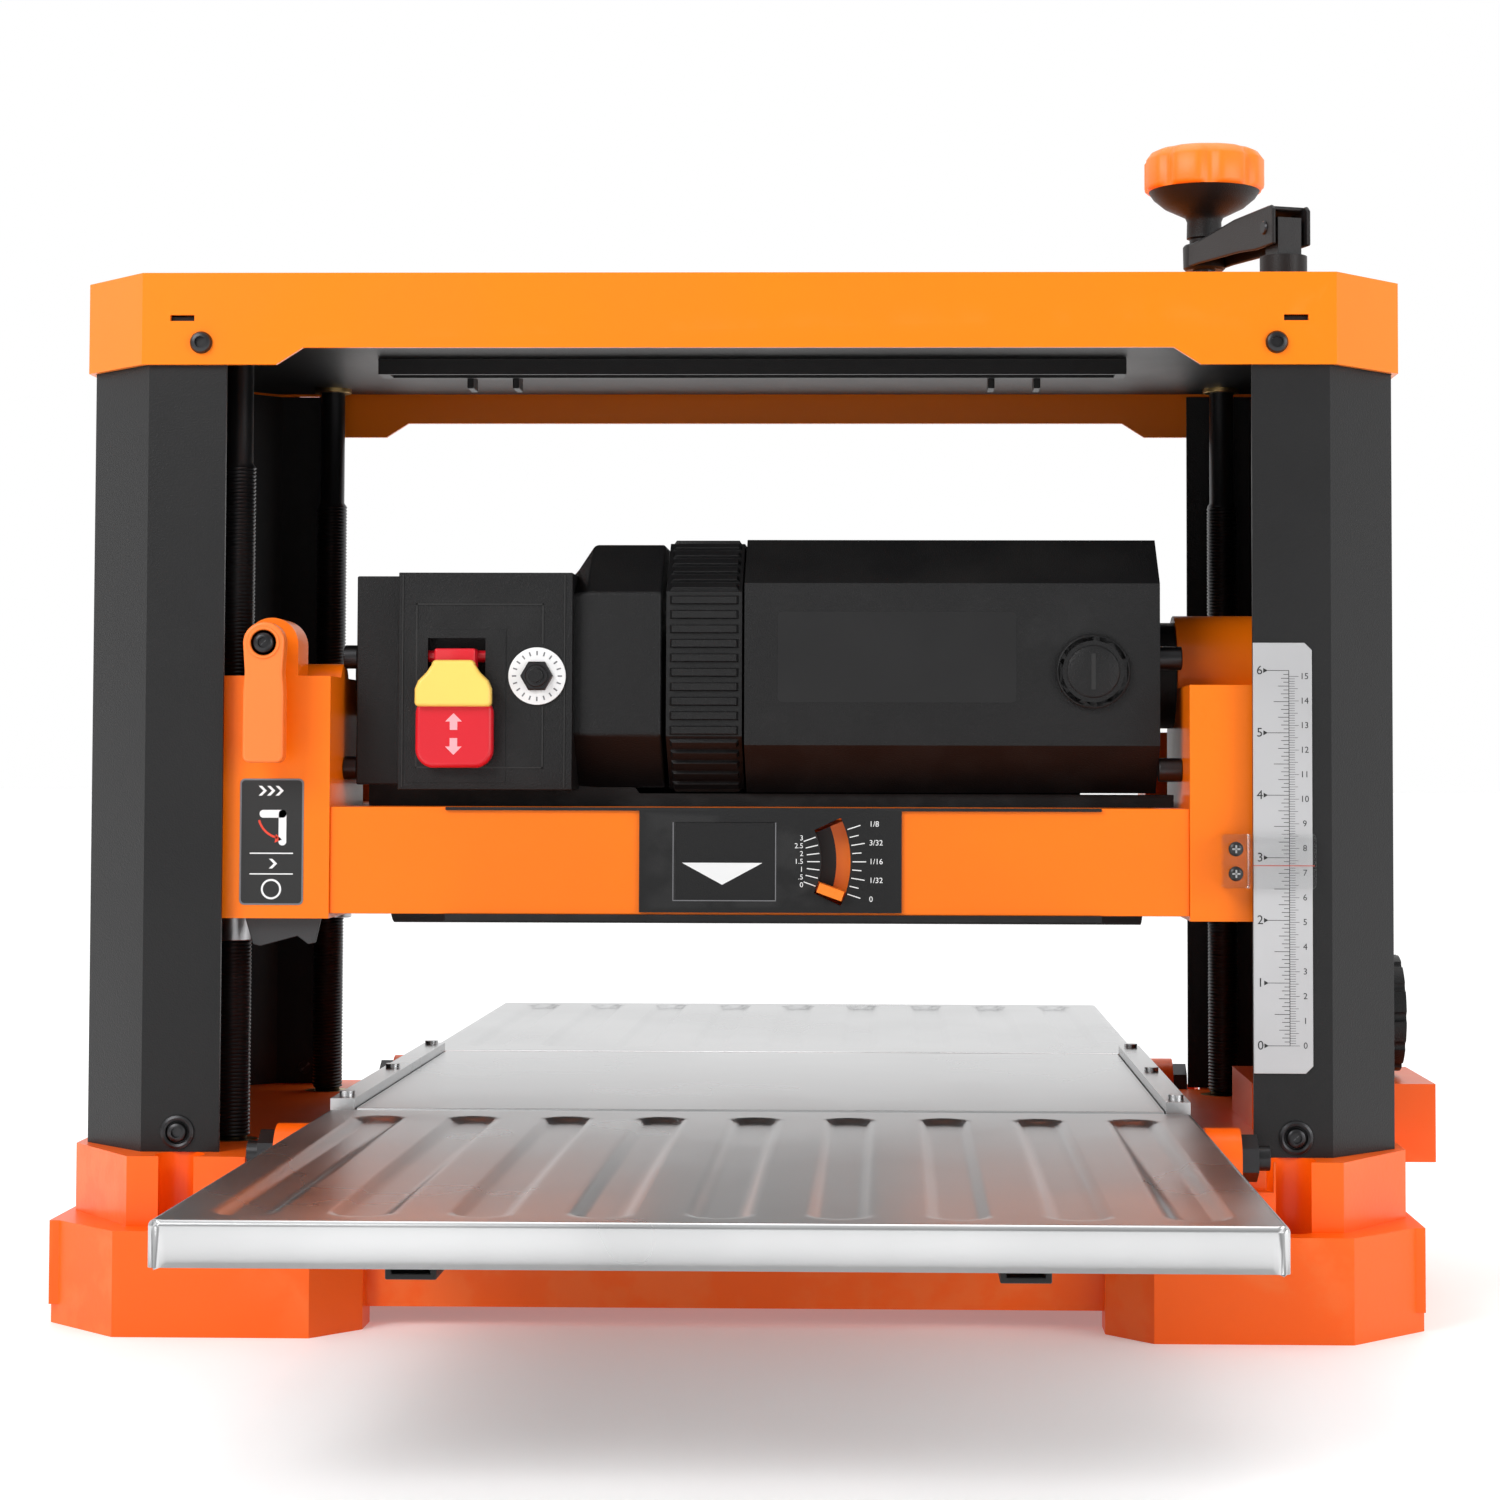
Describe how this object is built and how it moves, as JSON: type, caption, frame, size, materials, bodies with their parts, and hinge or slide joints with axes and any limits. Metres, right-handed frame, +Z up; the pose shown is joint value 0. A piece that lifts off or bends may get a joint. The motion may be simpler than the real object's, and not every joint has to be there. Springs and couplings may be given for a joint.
{
  "type": "thickness planer",
  "caption": "Bench-top thickness planer: stock passes under a belt-driven cutterhead in a carriage raised on screws by a crank, with folding tables.",
  "frame": {"origin": "middle of the four bench holes, on the plane the base rests on", "axes": "+Z up, +Y the feed direction from infeed to outfeed, +X to the right seen from the infeed side"},
  "size_m": [0.582, 0.903, 0.506],
  "materials": {
    "cast_orange": "painted die casting",
    "orange_paint": "satin paint",
    "black_paint": "fine textured powder coat",
    "stainless": "polished sheet",
    "black_steel": "black oxide",
    "bright_steel": "machined",
    "bronze": "machined",
    "rubber": "matt",
    "black_plastic": "fine grain",
    "orange_plastic": "satin",
    "red_plastic": "satin",
    "yellow_plastic": "satin",
    "clear_plastic": "clear",
    "nickel": "bright"
  },
  "bodies": {
    "base": {"base_casting": "cast_orange", "bed_plate": "stainless", "bed_guides": "stainless", "left_column": "black_paint", "right_column": "black_paint", "top_cover": "orange_paint", "top_plate": "black_paint", "cover_screws": "black_steel", "column_bolts": "black_steel", "foot_pads": "rubber", "depth_scale": "stainless", "hinge_bolts": "black_steel", "screw_bushes": "bronze", "lift_chain": "black_steel", "tool_clips": "black_paint"},
    "stop_dial": {"depth_stop_dial": "black_plastic"},
    "infeed": {"infeed_table": "stainless"},
    "outfeed": {"outfeed_table": "stainless"},
    "screw_fl": {"front_left_screw": "black_steel"},
    "screw_rl": {"rear_left_screw": "black_steel"},
    "screw_rr": {"rear_right_screw": "black_steel"},
    "crank": {"front_right_screw": "black_steel", "crank_hub": "black_paint"},
    "arm": {"crank_arm": "black_paint"},
    "knob": {"crank_knob": "orange_plastic"},
    "carriage": {"gearbox_casting": "cast_orange", "belt_casting": "cast_orange", "front_beam": "cast_orange", "rear_beam": "cast_orange", "lift_nuts": "bright_steel", "gearbox_cover": "black_paint", "belt_cover": "black_paint", "gauge_plate": "black_paint", "scale_lens": "clear_plastic", "motor_housing": "black_plastic", "vent_collar": "black_plastic", "commutator_housing": "black_plastic", "switch_box": "black_plastic", "motor_end_cap": "black_plastic", "motor_rods": "black_steel", "brush_holders": "black_plastic", "breaker_body": "nickel", "drive_belt": "rubber", "cutter_bearings": "bright_steel", "roller_blocks": "bronze", "feed_chain": "black_steel", "kickback_rod": "bright_steel", "dust_hood": "black_plastic", "cord_gland": "black_plastic"},
    "pointer": {"gauge_pointer": "orange_plastic"},
    "lever": {"speed_lever": "orange_plastic"},
    "rotor": {"motor_rotor": "bright_steel"},
    "paddle": {"switch_paddle": "red_plastic"},
    "key": {"switch_key": "yellow_plastic"},
    "button": {"breaker_button": "black_plastic"},
    "cutter": {"cutterhead": "bright_steel", "knives": "stainless"},
    "front_roller": {"infeed_roller": "rubber"},
    "rear_roller": {"outfeed_roller": "rubber"},
    "pawls": {"kickback_pawls": "black_steel"}
  },
  "joints": [
    {"name": "crank_turn", "type": "hinge", "parent": "base", "child": "crank", "pos_m": [0.23, -0.095, 0.2], "axis": [0, 0, -1], "range_deg": [-15850, 18050]},
    {"name": "front_left_screw_turn", "type": "hinge", "parent": "base", "child": "screw_fl", "pos_m": [-0.215, -0.095, 0.2], "axis": [0, 0, -1], "range_deg": [-15850, 18050]},
    {"name": "rear_left_screw_turn", "type": "hinge", "parent": "base", "child": "screw_rl", "pos_m": [-0.211, 0.108, 0.2], "axis": [0, 0, -1], "range_deg": [-15850, 18050]},
    {"name": "rear_right_screw_turn", "type": "hinge", "parent": "base", "child": "screw_rr", "pos_m": [0.225, 0.108, 0.2], "axis": [0, 0, -1], "range_deg": [-15850, 18050]},
    {"name": "carriage_lift", "type": "slide", "parent": "base", "child": "carriage", "axis": [0, 0, 1], "range_m": [-0.0698, 0.0794]},
    {"name": "crank_fold", "type": "hinge", "parent": "crank", "child": "arm", "pos_m": [0.23, -0.095, 0.457], "axis": [0.9448, 0.3275, 0], "range_deg": [0, 90]},
    {"name": "knob_spin", "type": "hinge", "parent": "arm", "child": "knob", "pos_m": [0.204, -0.02, 0.49], "axis": [0, 0, 1], "continuous": true},
    {"name": "stop_dial_turn", "type": "hinge", "parent": "base", "child": "stop_dial", "pos_m": [0.28, 0, 0.118], "axis": [1, 0, 0], "continuous": true},
    {"name": "infeed_fold", "type": "hinge", "parent": "base", "child": "infeed", "pos_m": [0.01, -0.16, 0.072], "axis": [-1, 0, 0], "range_deg": [0, 90]},
    {"name": "outfeed_fold", "type": "hinge", "parent": "base", "child": "outfeed", "pos_m": [0.01, 0.142, 0.072], "axis": [1, 0, 0], "range_deg": [0, 75]},
    {"name": "speed_lever_turn", "type": "hinge", "parent": "carriage", "child": "lever", "pos_m": [-0.1925, -0.14, 0.278], "axis": [0, 1, 0], "range_deg": [0, 90]},
    {"name": "gauge_pointer_swing", "type": "hinge", "parent": "carriage", "child": "pointer", "pos_m": [0.005, -0.128, 0.189], "axis": [0, -1, 0], "range_deg": [0, 40]},
    {"name": "motor_spin", "type": "hinge", "parent": "carriage", "child": "rotor", "pos_m": [0, -0.056, 0.268], "axis": [-1, 0, 0], "continuous": true},
    {"name": "cutterhead_spin", "type": "hinge", "parent": "carriage", "child": "cutter", "pos_m": [0, -0.009, 0.185], "axis": [-1, 0, 0], "continuous": true},
    {"name": "infeed_roller_turn", "type": "hinge", "parent": "carriage", "child": "front_roller", "pos_m": [0, -0.067, 0.1778], "axis": [1, 0, 0], "continuous": true},
    {"name": "outfeed_roller_turn", "type": "hinge", "parent": "carriage", "child": "rear_roller", "pos_m": [0, 0.049, 0.1778], "axis": [1, 0, 0], "continuous": true},
    {"name": "switch_paddle_tilt", "type": "hinge", "parent": "carriage", "child": "paddle", "pos_m": [-0.1185, -0.11, 0.274], "axis": [-1, 0, 0], "range_deg": [0, 20]},
    {"name": "switch_key_pull", "type": "slide", "parent": "paddle", "child": "key", "axis": [0, -1, 0], "range_m": [0, 0.009]},
    {"name": "breaker_button_push", "type": "slide", "parent": "carriage", "child": "button", "axis": [0, 1, 0], "range_m": [0, 0.003], "stiffness_N_per_m": 500},
    {"name": "kickback_pawl_swing", "type": "hinge", "parent": "carriage", "child": "pawls", "pos_m": [0.01, -0.091, 0.203], "axis": [1, 0, 0], "range_deg": [0, 8]}
  ],
  "couplings": [
    {"joint": "crank_turn", "follows": "carriage_lift", "rad_per_m": 3957.9},
    {"joint": "front_left_screw_turn", "follows": "carriage_lift", "rad_per_m": 3957.9},
    {"joint": "rear_left_screw_turn", "follows": "carriage_lift", "rad_per_m": 3957.9},
    {"joint": "rear_right_screw_turn", "follows": "carriage_lift", "rad_per_m": 3957.9},
    {"joint": "cutterhead_spin", "follows": "motor_spin", "ratio": 0.66667},
    {"joint": "infeed_roller_turn", "follows": "motor_spin", "ratio": 0.0048},
    {"joint": "outfeed_roller_turn", "follows": "motor_spin", "ratio": 0.0048}
  ]
}
